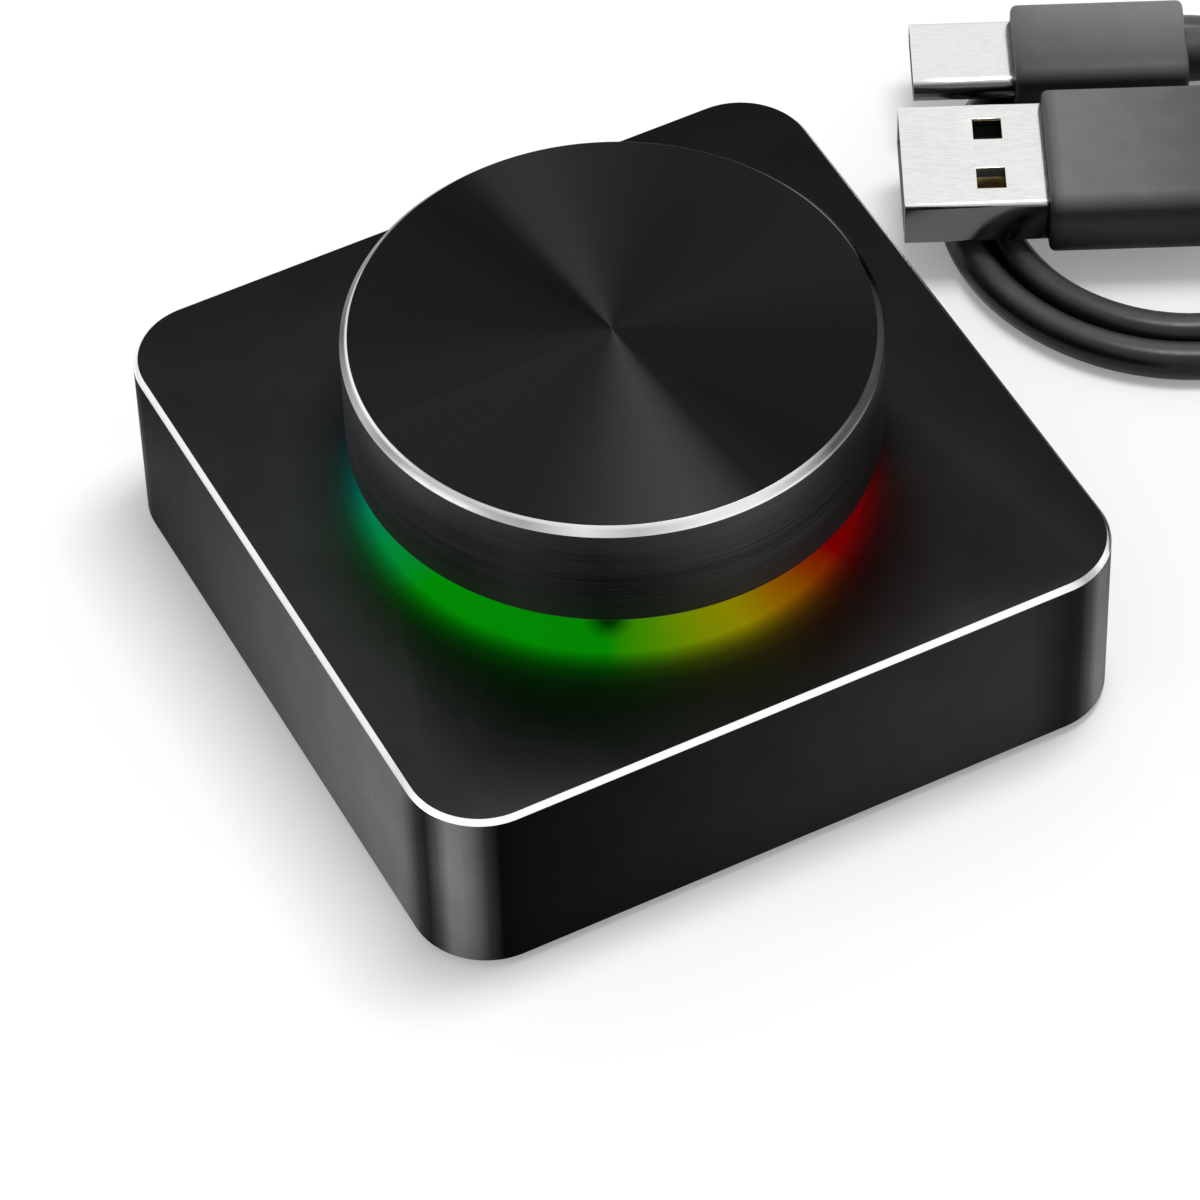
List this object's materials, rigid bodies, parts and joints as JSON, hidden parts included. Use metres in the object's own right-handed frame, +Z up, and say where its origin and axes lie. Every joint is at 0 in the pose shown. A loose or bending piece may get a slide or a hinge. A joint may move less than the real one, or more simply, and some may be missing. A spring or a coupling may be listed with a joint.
{
  "type": "usb volume control knob",
  "caption": "Square black metal desk base carrying a round turn-and-press volume knob over a light ring, with a rear USB-C socket and a tied USB cable.",
  "frame": {"origin": "centre of the anti-slip pad's underside, on the desk, on the knob's axis", "axes": "+Z up along the knob's axis; +Y towards the wall with the USB-C socket; +X towards the loose cable"},
  "size_m": [0.1664, 0.0719, 0.0303],
  "materials": {
    "anodised_base": "satin black anodised aluminium, fine bead-blasted top and sides, bright diamond-cut top edge",
    "anodised_knob": "black anodised aluminium, spun circular brushing on top, turned lines on the side, bright diamond-cut edge",
    "light_diffuser": "milky translucent polycarbonate, lit from inside in a ring of colours",
    "black_plastic": "fine-textured black moulded plastic",
    "grey_plastic": "moulded engineering plastic",
    "rubber_pad": "matt black silicone rubber, fine grained",
    "zinc": "satin nickel-plated die casting and steel",
    "spring_steel": "bright spring steel sheet",
    "ballast_steel": "zinc-plated steel plate",
    "screw_steel": "black zinc-plated steel screws",
    "plug_metal": "bright nickel-plated sheet steel",
    "gold_contacts": "gold-plated contacts",
    "circuit_board": "green solder-masked glass fibre laminate",
    "led_board_white": "white solder-masked laminate",
    "led_package": "white lamp packages with clear gel windows",
    "chip_black": "black epoxy chip packages",
    "ceramic_tan": "tan ceramic chip capacitors with tinned ends",
    "plug_overmould": "soft black moulded thermoplastic",
    "cord_jacket": "black matt cable jacket",
    "tie_cord": "thin black elastic tie"
  },
  "bodies": {
    "base": {"base_shell": "anodised_base", "bottom_cover": "black_plastic", "cover_screws": "screw_steel", "anti_slip_pad": "rubber_pad", "ballast_plate": "ballast_steel", "light_ring": "light_diffuser", "centre_plate": "black_plastic", "led_board": "led_board_white", "leds": "led_package", "board_posts": "grey_plastic", "board_connector": "black_plastic", "main_board": "circuit_board", "board_screws": "screw_steel", "controller_chip": "chip_black", "driver_chip": "chip_black", "capacitors": "ceramic_tan", "resistors": "chip_black", "usb_socket_shell": "plug_metal", "usb_socket_tongue": "black_plastic", "usb_socket_contacts": "gold_contacts", "encoder_housing": "grey_plastic", "encoder_frame": "spring_steel", "encoder_bushing": "zinc", "encoder_washer": "zinc", "encoder_nut": "zinc", "detent_spring": "spring_steel", "wiper_contacts": "gold_contacts", "encoder_terminals": "spring_steel", "switch_dome": "spring_steel", "usb_c_plug_shell": "plug_metal", "usb_c_plug_contacts": "gold_contacts", "usb_c_plug_body": "plug_overmould", "usb_c_strain_relief": "plug_overmould", "cable_lead_c": "cord_jacket", "cable_hank": "cord_jacket", "cable_lead_a": "cord_jacket", "usb_a_strain_relief": "plug_overmould", "usb_a_plug_body": "plug_overmould", "usb_a_plug_shell": "plug_metal", "usb_a_insulator": "black_plastic", "usb_a_contacts": "gold_contacts", "cable_tie": "tie_cord"},
    "press_stage": {"switch_plunger": "grey_plastic"},
    "knob": {"knob": "anodised_knob", "knob_insert": "black_plastic", "encoder_shaft": "zinc"},
    "rotor": {"encoder_rotor": "grey_plastic", "rotor_contact_disc": "gold_contacts"}
  },
  "joints": [
    {"name": "knob_press", "type": "slide", "parent": "base", "child": "press_stage", "axis": [0, 0, 1], "range_m": [-0.0005, 0], "stiffness_N_per_m": 2000, "springref_m": 0.0015, "deforming": ["switch_dome"]},
    {"name": "knob_turn", "type": "hinge", "parent": "press_stage", "child": "knob", "pos_m": [0, 0, 0.0203], "axis": [0, 0, 1], "continuous": true},
    {"name": "rotor_turn", "type": "hinge", "parent": "base", "child": "rotor", "pos_m": [0, 0, 0.012], "axis": [0, 0, 1], "continuous": true}
  ],
  "couplings": [
    {"joint": "rotor_turn", "follows": "knob_turn", "ratio": 1}
  ]
}
